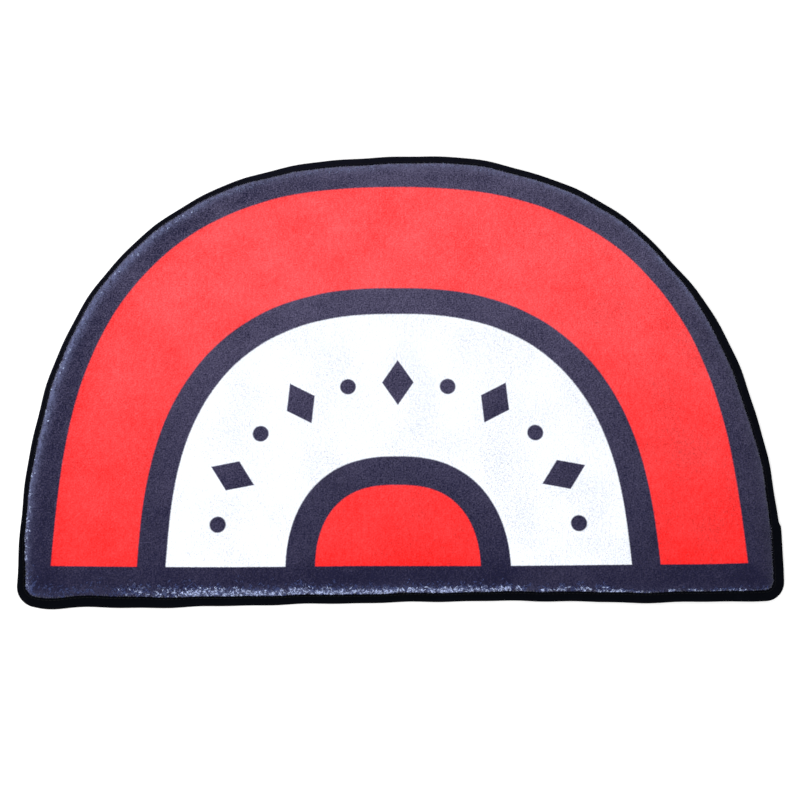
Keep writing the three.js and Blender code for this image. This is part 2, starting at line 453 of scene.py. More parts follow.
def lay_out_map(pad, under):
    """A flat map: the top in the upper half and the underside in the lower, each drawn from above."""
    layer = pad.data.uv_layers.new(name="OFBake")
    for polygon in pad.data.polygons:
        middle = UNDERSIDE_MIDDLE if under[polygon.index] else TOP_MIDDLE
        for loop in polygon.loop_indices:
            place = pad.data.vertices[pad.data.loops[loop].vertex_index].co
            layer.data[loop].uv = (0.5 + place.x / MAP_WIDTH, middle + place.y / MAP_WIDTH * MAP_SQUEEZE)


# The tape and its stitches

# The tape's upper face from its inner edge outwards: how far out each point lies, and how far under the top.
# The edge is turned down, and the stitches pull a groove.
UPPER_FACE = [
    {"out": 0.0, "down": 0.55},
    {"out": 0.45, "down": 0.1},
    {"out": 1.3, "down": 0.12},
    {"out": 2.1, "down": 0.38},
    {"out": 3.0, "down": 0.05},
]
CREST = {"past_middle": 0.6, "rise": 0.1}  # the upper face's highest point, just in from its middle
FOLD_POINTS = 9
PUCKER = {"count": 320, "height": 0.12}  # small ridges across the tape, all the way round
CREASE = {"size": 26, "height": 0.1, "seed": 8}  # slower unevenness along it
PUCKER_FROM = 0.2  # how far over the upper leg's underside the tape puckers
STITCH_PITCH = 4.2
STITCH_INSET = 2.0  # of the seam from the tape's inner edge
STITCH_SIDES = 6
STITCH_REACH = 0.4  # half a stitch, as a share of the pitch
STITCH_SINK = 0.2  # of its middle under the tape's top
STITCH_DROP = 0.25  # of its ends under its middle
# A stitch's radius along it, from end to end
STITCH_STOPS = [
    {"along": -1, "radius": 0.1},
    {"along": -0.6, "radius": 0.3},
    {"along": 0.6, "radius": 0.3},
    {"along": 1, "radius": 0.1},
]


def tape_section(width):
    """The folded tape's section, from the inner edge of its upper leg round to the inner edge inside."""
    top, thick = TAPE_HEIGHT, TAPE_THICKNESS
    rows = [(width - row["out"], top - row["down"]) for row in UPPER_FACE]
    rows.append((width * 0.5 + CREST["past_middle"], top + CREST["rise"]))
    for turn in np.linspace(np.pi / 2, -np.pi / 2, FOLD_POINTS):
        rows.append((FOLD_DEPTH * (1 - math.cos(turn)), top / 2 * (1 + math.sin(turn))))
    rows += [(width, 0), (width, thick), (thick, thick), (thick, top - thick), (width, top - thick)]
    return rows


def make_tape(material):
    ridges = PUCKER["height"] * np.sin(2 * np.pi * PUCKER["count"] * SHARES)
    creases = CREASE["height"] * smooth_noise(RIM[:, 0], RIM[:, 1], CREASE["size"], CREASE["seed"])
    rings = []
    sections = [tape_section(width) for width in TAPE]
    for row in range(len(sections[0])):
        inset = np.array([section[row][0] for section in sections])
        height = np.array([section[row][1] for section in sections])
        puckered = height > TAPE_HEIGHT - TAPE_THICKNESS + PUCKER_FROM
        flat = edge_points(SHARES, inset)[0]
        rings.append(np.column_stack([flat, height + puckered * (ridges + creases)]))
    faces = []
    for number in range(len(rings)):
        faces += band_faces(number * AROUND, (number + 1) % len(rings) * AROUND, AROUND)
    return make_object("edge_tape_soft", np.concatenate(rings), faces, [material])


def make_stitches(material):
    """A run of thread stitches sunk in the tape, each a short six-sided spindle along the edge."""
    count = int(PERIMETER / STITCH_PITCH)
    shares = (np.arange(count) + 0.5) / count
    inset = sewn_edge("tape", shares) - STITCH_INSET
    half = STITCH_REACH * STITCH_PITCH / PERIMETER
    rings = []
    for stop in STITCH_STOPS:
        flat, outward = edge_points(shares + stop["along"] * half, inset)
        at_end = abs(stop["along"]) == 1
        middle_height = TAPE_HEIGHT - STITCH_SINK - (STITCH_DROP if at_end else 0)
        for turn in np.arange(STITCH_SIDES) * 2 * np.pi / STITCH_SIDES:
            side = outward * (stop["radius"] * math.cos(turn))
            height = np.full(count, middle_height + stop["radius"] * math.sin(turn))
            rings.append(np.column_stack([flat + side, height]))
    points = np.stack(rings, 1)
    each = len(rings)
    faces = []
    for stitch in range(count):
        first = stitch * each
        for step in range(len(STITCH_STOPS) - 1):
            ring = first + step * STITCH_SIDES
            faces += band_faces(ring, ring + STITCH_SIDES, STITCH_SIDES)
        faces.append(tuple(first + i for i in reversed(range(STITCH_SIDES))))
        faces.append(tuple(first + each - STITCH_SIDES + i for i in range(STITCH_SIDES)))
    return make_object("seam_stitches", points.reshape(-1, 3), faces, [material])


# The pile's tufts

TUFT_SPACING = 1.4
TUFT_LENGTH = 1.9
TUFT_RADIUS = 0.6
TUFT_SHAKE = 0.5  # how far a tuft may stand from its place on the grid, in spacings
TUFT_LENGTHS = (0.75, 1.2)  # the shortest and the longest, as shares of the length
LEAN = 0.95  # radians from upright
LEAN_SPREAD = 0.16
SWIRL = {"size": 70, "turn": 0.7, "seed": 31, "spread": 0.55}  # how the nap turns about from place to place
ROOT_DEPTH = 0.25  # of the tufts' feet in the pad
SHOULDER_FOLLOW = 0.8  # how closely the tips follow the shoulder down
TUFT_SHINE = (0.3, 1.7)  # the least and the most of the shoulder's shine on a tuft
LEAST_INWARD = 0.2  # how near the seam the tufts begin
RIM_STEP = 2  # every which stop of the rim is tried for a tuft's nearest one
PLACES_AT_ONCE = 4000
PILE_STRIPS = ["pile_left", "pile_middle_left", "pile_middle_right", "pile_right"]


def nearest_stops(places):
    """For each place the number of the nearest stop on the sewn rim, and its distance."""
    numbers = np.zeros(len(places), int)
    reaches = np.zeros(len(places))
    for start in range(0, len(places), PLACES_AT_ONCE):
        part = slice(start, start + PLACES_AT_ONCE)
        gaps = ((places[part, None, :] - RIM[None, ::RIM_STEP, :]) ** 2).sum(axis=2)
        numbers[part] = gaps.argmin(axis=1) * RIM_STEP
        reaches[part] = np.sqrt(gaps.min(axis=1))
    return numbers, reaches


def tuft_places():
    """A shaken triangular grid over the pile: places, distances in from the seam and outward directions."""
    low, high = RIM.min(axis=0), RIM.max(axis=0)
    across = np.arange(low[0], high[0], TUFT_SPACING)
    up = np.arange(low[1], high[1], TUFT_SPACING * math.sqrt(3) / 2)
    x, y = np.meshgrid(across, up)
    x[1::2] += TUFT_SPACING / 2
    places = np.stack([x.ravel(), y.ravel()], -1)
    places += rng.uniform(-TUFT_SHAKE, TUFT_SHAKE, places.shape) * TUFT_SPACING
    numbers, reaches = nearest_stops(places)
    outward = edge_points(SHARES, 0.0)[1][numbers]
    side = ((places - RIM[numbers]) * outward).sum(axis=1)
    inward = reaches - TAPE[numbers] - GAP
    kept = (inward > LEAST_INWARD) & (side < 0)
    return places[kept], inward[kept], outward[kept], SHARES[numbers[kept]]


def make_tufts(material):
    """Short leaning tufts all over the pile, each a three-sided spike, in strips from left to right."""
    places, inward, outward, shares = tuft_places()
    count = len(places)
    x, y = places.T
    swirl = -np.pi / 2 + SWIRL["turn"] * smooth_noise(x, y, SWIRL["size"], SWIRL["seed"])
    swirl = swirl + rng.normal(0, SWIRL["spread"], count)
    nap = np.stack([np.cos(swirl), np.sin(swirl)], -1)
    rolled = np.clip(1 - inward / SHOULDER_WIDTH, 0, 1)[:, None]
    nap = nap * (1 - rolled) + outward * rolled
    nap /= np.linalg.norm(nap, axis=1, keepdims=True)
    lean = LEAN + rng.normal(0, LEAN_SPREAD, count)
    length = TUFT_LENGTH * rng.uniform(*TUFT_LENGTHS, count)
    root_height = pile_height(x, y, inward) - ROOT_DEPTH
    tip = places + nap * (length * np.sin(lean))[:, None]
    tip_height = root_height + length * np.cos(lean)
    rolled_drop = root_height - pile_height(x, y, np.maximum(inward - length * np.sin(lean), 0))
    tip_height -= rolled[:, 0] * np.maximum(rolled_drop, 0) * SHOULDER_FOLLOW
    shine, painted_shade = shoulder_look(shares, inward)
    shine *= rng.uniform(*TUFT_SHINE, count)
    turn = rng.uniform(0, 2 * np.pi, count)
    corners = []
    for step in range(3):
        angle = turn + step * 2 * np.pi / 3
        foot = places + TUFT_RADIUS * np.stack([np.cos(angle), np.sin(angle)], -1)
        corners.append(np.column_stack([foot, root_height]))
    corners.append(np.column_stack([tip, tip_height]))
    points = np.stack(corners, 1)
    shape = np.array([(0, 1, 3), (1, 2, 3), (2, 0, 3)])
    strip = np.argsort(x, kind="stable")
    for name, part in zip(PILE_STRIPS, np.array_split(strip, len(PILE_STRIPS))):
        faces = (4 * np.arange(len(part))[:, None, None] + shape).reshape(-1, 3)
        piece = make_object(name, points[part].reshape(-1, 3), faces.tolist(), [material])
        keep_look(piece, (np.repeat(shine[part], 4), np.repeat(painted_shade[part], 4)))
        map_from_above(piece)


TUFT_MAP_SHARE, TUFT_MAP_MARGIN = 0.98, 0.01  # of the map's width that the tufts take, and beside them


def map_from_above(piece):
    """A flat map drawn from above, for a colour that depends only on the place on the mat."""
    mesh = piece.data
    layer = mesh.uv_layers.new(name="OFBake")
    corners = np.zeros(len(mesh.loops), int)
    mesh.loops.foreach_get("vertex_index", corners)
    places = np.zeros(len(mesh.vertices) * 3)
    mesh.vertices.foreach_get("co", places)
    places = places.reshape(-1, 3)[corners, :2]
    low, high = places.min(axis=0), places.max(axis=0)
    spread = (places - low) / (high - low).max()
    layer.data.foreach_set("uv", (spread * TUFT_MAP_SHARE + TUFT_MAP_MARGIN).ravel())


# Strands of pile that stand out on the shoulder, coloured as they catch the light: painted glints and painted
# sheen

# Where they lie: from and to are shares of the way round, count is how many, inward is their mean distance
# in from the seam with its spread, clump is how strongly they gather in patches, length is theirs and slant
# is their mean angle from straight out, in degrees, to either side.
STRAND_COLUMNS = ("from", "to", "count", "inward", "spread", "clump", "length", "slant")
GLINT_ROWS = [
    (0.42, 0.52, 22, 5.0, 1.6, 0.6, 2.6, 16),
    (0.52, 0.61, 32, 2.4, 1.7, 0.6, 2.6, 24),
    (0.61, 0.63, 8, 1.4, 1.2, 0.8, 2.6, 24),
    (0.68, 0.71, 26, 3.6, 2.2, 0.8, 3, 50),
    (0.705, 0.738, 26, 6.2, 1.6, 0.6, 3.2, 48),
    (0.71, 0.77, 170, 2.2, 1.8, 0.4, 3.4, 48),
    (0.77, 0.86, 240, 2.0, 1.5, 0.4, 3.4, 48),
    (0.86, 0.91, 50, 1.6, 1.4, 0.8, 3.2, 55),
    (0.91, 0.98, 28, 0.5, 0.6, 0.95, 3, 74),
]
BLUE_SHEEN_ROWS = [
    (0.62, 0.68, 130, 5.0, 5.0, 0.5, 3.4, 45),
    (0.68, 0.71, 130, 5.0, 5.0, 0.5, 3.4, 45),
    (0.71, 0.77, 220, 4.6, 4.2, 0.4, 3.8, 45),
    (0.77, 0.86, 240, 4.0, 3.4, 0.4, 3.8, 45),
    (0.86, 0.91, 100, 2.4, 3.0, 0.6, 3.4, 50),
    (0.91, 0.98, 70, 1.2, 1.6, 0.6, 3.4, 50),
]
PALE_SHEEN_ROWS = [
    (0.12, 0.26, 90, 2.4, 1.6, 0.6, 3.2, 22),
    (0.26, 0.38, 90, 3.4, 2.4, 0.6, 3.2, 22),
    (0.38, 0.5, 160, 4.8, 2.0, 0.6, 3.6, 12),
    (0.5, 0.56, 90, 3.6, 1.9, 0.6, 3.4, 16),
    (0.56, 0.64, 80, 2.4, 2.2, 0.7, 3.0, 24),
    (0.68, 0.71, 46, 4.8, 3.4, 0.8, 3, 40),
    (0.71, 0.77, 190, 2.4, 2.2, 0.4, 3.6, 40),
    (0.77, 0.86, 240, 2.2, 1.7, 0.4, 3.6, 40),
    (0.86, 0.91, 42, 1.8, 1.8, 0.9, 3, 60),
    (0.91, 0.98, 26, 0.8, 0.8, 0.9, 3, 60),
]
# The strands' pieces; width is how far a strand's hairs lie apart
STRANDS = [
    {"name": "glint_strands", "rows": GLINT_ROWS, "width": 1.4, "colour": PAINTED_GLINT},
    {"name": "blue_sheen_strands", "rows": BLUE_SHEEN_ROWS, "width": 1.6, "colour": PAINTED_BLUE_SHEEN},
    {"name": "pale_sheen_strands", "rows": PALE_SHEEN_ROWS, "width": 2.0, "colour": PAINTED_PALE_SHEEN},
]
HAIRS = 3  # to a strand
HAIR_PLACES = {"along": 0.4, "inward": 0.3}  # how far its hairs scatter, in widths
TRIES = 4  # places tried for each strand that is wanted
STRAND_PATCH = {"size": 22, "seed": 21}  # the patches that they gather in
SLANT_SPREAD = 9
STRAND_LENGTHS = (0.6, 1.25)  # the shortest and the longest strand, as shares of the row's length
HAIR_LENGTHS = (0.75, 1.1)  # the same for the hairs of a strand
HAIR_TURN = 0.3  # radians by which a strand's hairs turn apart
HAIR_GIRTH = 0.5
HAIR_GIRTHS = (0.6, 1.3)  # the thinnest and the thickest hair, as shares of the girth
TIP_RISE = (0.5, 1.1)  # how far a hair's outer end stands over the pile's roots, least and most
MIDDLE_RISE = 0.75  # the same for its middle
ROOT_RISE = 0.3  # and for its inner end
NEAREST_SEAM = 0.3  # how near the seam a hair may lie


def scatter(rows):
    """Seeded places for each row's strands: a table of share, inward, length and slant for each strand."""
    strands = []
    for values in rows:
        row = dict(zip(STRAND_COLUMNS, values))
        tried = rng.uniform(row["from"], row["to"], row["count"] * TRIES)
        bumps = smooth_noise(tried * PERIMETER, tried * 0, STRAND_PATCH["size"], STRAND_PATCH["seed"])
        patches = 0.5 + 0.5 * bumps
        keep = rng.uniform(0, 1, len(tried)) < (1 - row["clump"]) + row["clump"] * patches
        shares = tried[keep][: row["count"]]
        count = len(shares)
        inward = np.abs(rng.normal(row["inward"], row["spread"], count)) + NEAREST_SEAM
        length = row["length"] * rng.uniform(*STRAND_LENGTHS, count)
        slant = rng.choice([-1, 1], count) * rng.normal(row["slant"], SLANT_SPREAD, count)
        strands.append(np.column_stack([shares, inward, length, np.radians(slant)]))
    return np.concatenate(strands)


def make_strands(name, rows, width, material):
    """Strands of hairs lying on the shoulder, each hair a closed three-sided spindle."""
    strands = np.repeat(scatter(rows), HAIRS, axis=0)
    count = len(strands)
    shares = strands[:, 0] + rng.normal(0, width * HAIR_PLACES["along"], count) / PERIMETER
    inward = strands[:, 1] + rng.normal(0, width * HAIR_PLACES["inward"], count)
    inward = np.maximum(inward, NEAREST_SEAM)
    reach = strands[:, 2] * rng.uniform(*HAIR_LENGTHS, count)
    heading = strands[:, 3] + rng.normal(0, HAIR_TURN, count)
    girth = HAIR_GIRTH * rng.uniform(*HAIR_GIRTHS, count)
    flat, outward = edge_points(shares, sewn_edge("tape", np.mod(shares, 1)) + GAP + inward)
    along = np.stack([-outward[:, 1], outward[:, 0]], -1)
    way = outward * np.cos(heading)[:, None] + along * np.sin(heading)[:, None]
    step = reach * 0.5 * np.cos(heading)
    ends = []
    for side, rise in ((1, rng.uniform(*TIP_RISE, count)), (-1, ROOT_RISE)):
        place = flat + way * (side * reach * 0.5)[:, None]
        ends.append(np.column_stack([place, shoulder_height(np.maximum(inward - side * step, 0)) + rise]))
    middle = np.column_stack([flat, shoulder_height(inward) + MIDDLE_RISE])
    half = np.column_stack([-way[:, 1] * girth / 2, way[:, 0] * girth / 2, np.zeros(count)])
    upper = middle + np.column_stack([np.zeros((count, 2)), girth / 2])
    points = np.stack([ends[0], middle + half, middle - half, upper, ends[1]], 1).reshape(-1, 3)
    shape = np.array([(0, 2, 1), (0, 1, 3), (0, 3, 2), (4, 1, 2), (4, 3, 1), (4, 2, 3)])
    faces = (5 * np.arange(count)[:, None, None] + shape).reshape(-1, 3)
    return make_object(name, points, faces.tolist(), [material], smooth=False)


# Materials

PRINT_BLUR = 1.3  # the width over which two inks meet
PRINT_WANDER = 0.8  # how far the pile's tips shift that line, in blurs
# Sizes of the noises in the pile's colour
FINE_SIZE = 1.6
STREAK_SIZE = 7
STREAK_STRETCH = (1.6, 0.8, 1)
PATCH_SIZE = 46
# Painted sheen: how far each ink goes from its shaded deep copy, at 0, to its lit pale one, at 1, lighter up
# the mat
# and to the left: least and most are at the places low and high up the mat, and across is the change for each
# millimetre to the right
PAINTED_SHEEN_GRADIENT = {"low": -20, "high": 320, "least": 0.115, "most": 0.62, "across": -0.00006}
NAP_TEXTURE = {"gain": 1.3, "least": 0.28}  # how clearly the unevenness shows, growing with the painted sheen
UNEVEN_SHARE = 0.6  # how much the patches and streaks count in it
BRUSH_SHARE = 0.25  # how much the brush marks count
BRUSH_MARK = {"angle": 38, "length": 13, "width": 2.4, "from": 0.59, "gain": 5.0}
SHINE_CLUMPS = {"streaks": 3.6, "base": -0.8, "fine": 2.6}  # how the shoulder's shine gathers in streaks
PILE_BUMP = {"streaks": 0.8, "strength": 0.45, "distance": 0.0008}
# The tape's tone, from 0 for dark to 1 for light: painted light, a little lighter to the left and up to the
# crown
TAPE_TONE = {"middle": 0.6, "across": -1 / 950, "rise": 250, "grain": 0.7, "worn": 0.5}
WEAVE_SIZE = 0.9
WORN_SIZE = 18
TAPE_BUMP = {"strength": 0.5, "distance": 0.0004}
FELT_SIZE = 2.2
FELT_DARK = 0.6  # the felt's darkest tone, as a share of its lightest
FELT_BUMP = {"strength": 0.5, "distance": 0.0006}


class Shader:
    """A material's nodes, with short names for the few kinds used here."""

    def __init__(self, name, **constants):
        self.material = bpy.data.materials.new(name)
        self.material.use_nodes = True
        self.tree = self.material.node_tree
        self.surface = self.tree.nodes["Principled BSDF"]
        for socket, value in constants.items():
            self.surface.inputs[socket.replace("_", " ")].default_value = value

    def put(self, node, socket, value):
        if isinstance(value, bpy.types.NodeSocket):
            self.tree.links.new(value, node.inputs[socket])
        else:
            node.inputs[socket].default_value = value

    def add(self, kind, inputs=(), **settings):
        node = self.tree.nodes.new(kind)
        for setting, value in settings.items():
            setattr(node, setting, value)
        for socket, value in dict(inputs).items():
            self.put(node, socket, value)
        return node

    def math(self, operation, *values, clamp=False):
        inputs = dict(enumerate(values))
        return self.add("ShaderNodeMath", inputs, operation=operation, use_clamp=clamp).outputs[0]

    def vector(self, operation, *values):
        return self.add("ShaderNodeVectorMath", dict(enumerate(values)), operation=operation)

    def noise(self, place, size, detail=2.0, stretch=(1, 1, 1)):
        """Noise from 0 to 1 with features about size millimetres across."""
        scaled = self.vector("MULTIPLY", place, tuple(s / size for s in stretch)).outputs[0]
        node = self.add("ShaderNodeTexNoise", {"Vector": scaled, "Scale": 1.0, "Detail": detail})
        return node.outputs["Fac"]

    def mix(self, factor, first, second):
        node = self.add("ShaderNodeMix", data_type="RGBA")
        self.put(node, 0, factor)
        self.put(node, 6, first)
        self.put(node, 7, second)
        return node.outputs[2]

    def bump(self, height, strength, distance):
        inputs = {"Height": height, "Strength": strength, "Distance": distance}
        normal = self.add("ShaderNodeBump", inputs).outputs[0]
        self.tree.links.new(normal, self.surface.inputs["Normal"])


def opaque(colour):
    return (*colour, 1.0)


def millimetres(shader):
    """Places on the mat in millimetres, with the foot line at y = 0."""
    coordinates = shader.add("ShaderNodeTexCoord").outputs["Object"]
    scaled = shader.vector("SCALE", coordinates)
    scaled.inputs["Scale"].default_value = 1 / MM
    return shader.vector("ADD", scaled.outputs[0], (CENTRE[0], CENTRE[1], 0)).outputs[0]


def covered(shader, depth, wander):
    """0 to 1 across an ink's edge, from its depth inside in blurs and the shift by the pile's tips."""
    return shader.math("ADD", shader.math("ADD", depth, wander), 0.5, clamp=True)


def inside_arch(shader, x, y, arch, wander):
    """1 inside an arch of the print and 0 outside it, with an edge that the pile's tips blur a little."""
    across = shader.math("ABSOLUTE", shader.math("SUBTRACT", x, arch["middle"]))
    across = shader.math("POWER", shader.math("DIVIDE", across, arch["half_width"]), arch["side_power"])
    up = shader.math("DIVIDE", shader.math("MAXIMUM", y, 0.0), arch["rise"])
    up = shader.math("POWER", up, arch["crown_power"])
    power = 2 / (arch["side_power"] + arch["crown_power"])
    radius = shader.math("POWER", shader.math("ADD", across, up), power)
    depth = shader.math("MULTIPLY", shader.math("SUBTRACT", 1.0, radius), arch["half_width"] / PRINT_BLUR)
    return covered(shader, depth, wander)


def row_places():
    """Places of the motifs, evenly spaced along a superellipse from one end dot over to the other."""
    turn = np.linspace(0, np.pi, ROW_FINENESS)
    across = np.cos(turn)
    x = ROW_HALF_WIDTH * np.sign(across) * np.abs(across) ** (2 / ROW_POWER)
    y = ROW_RISE * np.abs(np.sin(turn)) ** (2 / ROW_POWER)
    shown = y >= ROW_FOOT
    x, y = x[shown], y[shown]
    way = np.concatenate([[0], np.cumsum(np.hypot(np.diff(x), np.diff(y)))])
    stops = np.linspace(0, way[-1], ROW_COUNT)
    slope_x = np.interp(stops, way, np.gradient(x, way))
    slope_y = np.interp(stops, way, np.gradient(y, way))
    middle = ARCHES["white"]["middle"]
    return zip(np.interp(stops, way, x) + middle, np.interp(stops, way, y), np.arctan2(slope_y, slope_x))


def motif_row(shader, flat, wander):
    """1 on the row's dots and lozenges and 0 elsewhere."""
    motifs = 0.0
    for number, (x, y, turn) in enumerate(row_places()):
        is_dot = number % 2 == 0
        half_width = DOT_RADIUS if is_dot else LOZENGE_HALF_WIDTH
        half_height = DOT_RADIUS if is_dot else LOZENGE_HALF_HEIGHT
        inputs = {
            "Vector": flat,
            "Location": (x, y, 0),
            "Rotation": (0, 0, turn),
            "Scale": (half_width, half_height, 1),
        }
        local = shader.add("ShaderNodeMapping", inputs, vector_type="TEXTURE").outputs[0]
        if is_dot:
            reach = shader.vector("LENGTH", local).outputs["Value"]
        else:
            size = shader.vector("ABSOLUTE", local).outputs[0]
            reach = shader.vector("DOT_PRODUCT", size, (1, 1, 0)).outputs["Value"]
        depth = shader.math("MULTIPLY", shader.math("SUBTRACT", 1.0, reach), half_width / PRINT_BLUR)
        motifs = shader.math("MAXIMUM", covered(shader, depth, wander), motifs)
    return motifs


def straightened(shader, x, y):
    """x with the print's lean and the splay of its feet taken out."""
    height = shader.math("MAXIMUM", y, 0.0)
    fall = shader.math("EXPONENT", shader.math("DIVIDE", height, -SPLAY["reach"]))
    side = shader.math("DIVIDE", x, HALF_WIDTH / 2)
    right = shader.math("MULTIPLY", shader.math("MULTIPLY", side, 1.0, clamp=True), SPLAY["right"])
    left = shader.math("MULTIPLY", shader.math("MULTIPLY", side, -1.0, clamp=True), SPLAY["left"])
    splay = shader.math("MULTIPLY", fall, shader.math("SUBTRACT", right, left))
    leaned = shader.math("MULTIPLY_ADD", height, PRINT_LEAN, x)
    return shader.math("SUBTRACT", leaned, splay)


def over_base_line(shader, x, y):
    """Height over the print's base line, which sags a little below the foot line."""
    spread = shader.math("DIVIDE", shader.math("ABSOLUTE", x), SAG_HALF_WIDTH)
    hump = shader.math("MULTIPLY_ADD", shader.math("POWER", spread, SAG_POWER), -SAG_FALL, SAG)
    turn = shader.math("DIVIDE", shader.math("SUBTRACT", x, SAG_WAVE["crest"]), SAG_WAVE["length"] / math.tau)
    wave = shader.math("MULTIPLY_ADD", shader.math("COSINE", turn), SAG_WAVE["height"], hump)
    return shader.math("ADD", y, wave)


def painted_sheen_gradient(shader, x, y):
    """Painted sheen: little at the straight edge, much at the crown, and a little more to the left."""
    inputs = {
        "Value": y,
        "From Min": PAINTED_SHEEN_GRADIENT["low"],
        "From Max": PAINTED_SHEEN_GRADIENT["high"],
        "To Min": PAINTED_SHEEN_GRADIENT["least"],
        "To Max": PAINTED_SHEEN_GRADIENT["most"],
    }
    lean = shader.add("ShaderNodeMapRange", inputs)
    return shader.math("MULTIPLY_ADD", x, PAINTED_SHEEN_GRADIENT["across"], lean.outputs[0])


def brush_marks(shader, flat):
    """0 nearly everywhere, rising to 1 in long faint diagonal strokes where the pile has been brushed."""
    inputs = {
        "Vector": flat,
        "Rotation": (0, 0, math.radians(BRUSH_MARK["angle"])),
        "Scale": (BRUSH_MARK["length"], BRUSH_MARK["width"], 1),
    }
    turned = shader.add("ShaderNodeMapping", inputs, vector_type="TEXTURE").outputs[0]
    strokes = shader.noise(turned, 1.0, detail=1.0)
    over = shader.math("SUBTRACT", strokes, BRUSH_MARK["from"])
    return shader.math("MULTIPLY", over, BRUSH_MARK["gain"], clamp=True)


def stored(shader, name):
    """A value kept on the mesh's points."""
    return shader.add("ShaderNodeAttribute", attribute_name=name).outputs["Fac"]


def tone_and_painted_sheen(shader, flat, x, y, streaks):
    """The painted sheen at each place less the shoulder's painted shade, with the pile's uneven tone added,
    and how clearly that tone shows there.
    """
    patches = shader.noise(flat, PATCH_SIZE, detail=2.5)
    lean = painted_sheen_gradient(shader, x, y)
    texture = shader.math("MULTIPLY_ADD", lean, NAP_TEXTURE["gain"], NAP_TEXTURE["least"])
    uneven = shader.math("SUBTRACT", shader.math("ADD", patches, streaks), 1.0)
    uneven = shader.math("MULTIPLY", uneven, UNEVEN_SHARE)
    uneven = shader.math("MULTIPLY_ADD", brush_marks(shader, flat), BRUSH_SHARE, uneven)
    # The shoulder's painted shade darkens the painted sheen
    nap = shader.math("SUBTRACT", lean, stored(shader, "painted_shade"))
    return shader.math("MULTIPLY_ADD", uneven, texture, nap), texture


def lay_print(shader, flat, x, y, inks, wander):
    """The colour of the print: the arches from the outside in, and navy below their base line."""
    x = straightened(shader, x, y)
    above = covered(shader, over_base_line(shader, x, y), wander)
    motifs = motif_row(shader, flat, wander)
    layers = {
        "outer": inks["red"],
        "middle": inks["navy"],
        "white": shader.mix(motifs, inks["white"], inks["navy"]),
        "inner": inks["navy"],
        "heart": inks["red"],
    }
    colour = inks["navy"]
    for arch_name, ink in layers.items():
        colour = shader.mix(inside_arch(shader, x, y, ARCHES[arch_name], wander), colour, ink)
    return shader.mix(above, inks["navy"], colour)


def printed_pile(name, bumped):
    """The printed pile: inks laid by the arches, each going from its shaded copy to its lit one with the
    painted sheen and shade and the pile's uneven tone, and the shoulder's painted highlight over them.
    """
    shader = Shader(name, Roughness=0.85, Sheen_Weight=0.3, Sheen_Roughness=0.4)
    shader.surface.inputs["Sheen Tint"].default_value = (0.8, 0.84, 1.0, 1.0)
    shader.surface.inputs["Specular IOR Level"].default_value = 0.15
    place = millimetres(shader)
    flat = shader.vector("MULTIPLY", place, (1, 1, 0)).outputs[0]
    parts = shader.add("ShaderNodeSeparateXYZ", {0: place})
    x, y = parts.outputs[0], parts.outputs[1]

    fine = shader.noise(flat, FINE_SIZE, detail=3.0)
    centred = shader.math("SUBTRACT", fine, 0.5)
    streaks = shader.noise(flat, STREAK_SIZE, detail=3.0, stretch=STREAK_STRETCH)
    nap, texture = tone_and_painted_sheen(shader, flat, x, y, streaks)
    grain = shader.math("MULTIPLY", centred, texture)
    inks = {}
    # Each ink from its shaded copy to its lit one, by the painted sheen and shade, the uneven tone and the
    # grain
    for ink_name, ink in INKS.items():
        grained = shader.math("MULTIPLY_ADD", grain, GRAIN[ink_name], nap, clamp=True)
        inks[ink_name] = shader.mix(grained, opaque(ink["deep"]), opaque(ink["pale"]))
    colour = lay_print(shader, flat, x, y, inks, shader.math("MULTIPLY", centred, PRINT_WANDER))

    # The shoulder's shine, a painted highlight, gathered in streaky clumps over the inks
    clumps = shader.math("MULTIPLY_ADD", streaks, SHINE_CLUMPS["streaks"], SHINE_CLUMPS["base"])
    clumps = shader.math("MULTIPLY_ADD", centred, SHINE_CLUMPS["fine"], clumps)
    shine = shader.math("MULTIPLY", stored(shader, "shine"), clumps, clamp=True)
    colour = shader.mix(shine, colour, opaque(SHINE))
    shader.tree.links.new(colour, shader.surface.inputs["Base Color"])

    if bumped:
        height = shader.math("MULTIPLY_ADD", streaks, PILE_BUMP["streaks"], fine)
        shader.bump(height, PILE_BUMP["strength"], PILE_BUMP["distance"])
    return shader.material


def strand_material(name, colour):
    shader = Shader(name, Roughness=0.6, Sheen_Weight=0.2)
    shader.surface.inputs["Base Color"].default_value = opaque(colour)
    return shader.material


def black_tape():
    """A matt woven tape, with painted light making it a little lighter along the left and up to the crown."""
    shader = Shader("black_tape", Roughness=0.95)
    shader.surface.inputs["Specular IOR Level"].default_value = 0.02
    place = millimetres(shader)
    parts = shader.add("ShaderNodeSeparateXYZ", {0: place})
    grain = shader.noise(place, WEAVE_SIZE, detail=2.0)
    worn = shader.noise(place, WORN_SIZE, detail=2.0)
    # Painted light: lighter to the left and up to the crown
    side = shader.math("MULTIPLY_ADD", parts.outputs[0], TAPE_TONE["across"], TAPE_TONE["middle"])
    rise = shader.math("DIVIDE", parts.outputs[1], TAPE_TONE["rise"], clamp=True)
    tone = shader.math("MULTIPLY", side, rise)
    tone = shader.math("MULTIPLY_ADD", shader.math("SUBTRACT", grain, 0.5), TAPE_TONE["grain"], tone)
    worn = shader.math("SUBTRACT", worn, 0.5)
    tone = shader.math("MULTIPLY_ADD", worn, TAPE_TONE["worn"], tone, clamp=True)
    colour = shader.mix(tone, opaque(TAPE_DARK), opaque(TAPE_LIGHT))
    shader.tree.links.new(colour, shader.surface.inputs["Base Color"])
    shader.bump(grain, TAPE_BUMP["strength"], TAPE_BUMP["distance"])
    return shader.material


def thread_material():
    shader = Shader("black_thread", Roughness=0.55)
    shader.surface.inputs["Base Color"].default_value = opaque(THREAD_BLACK)
    shader.surface.inputs["Specular IOR Level"].default_value = 0.12
    return shader.material


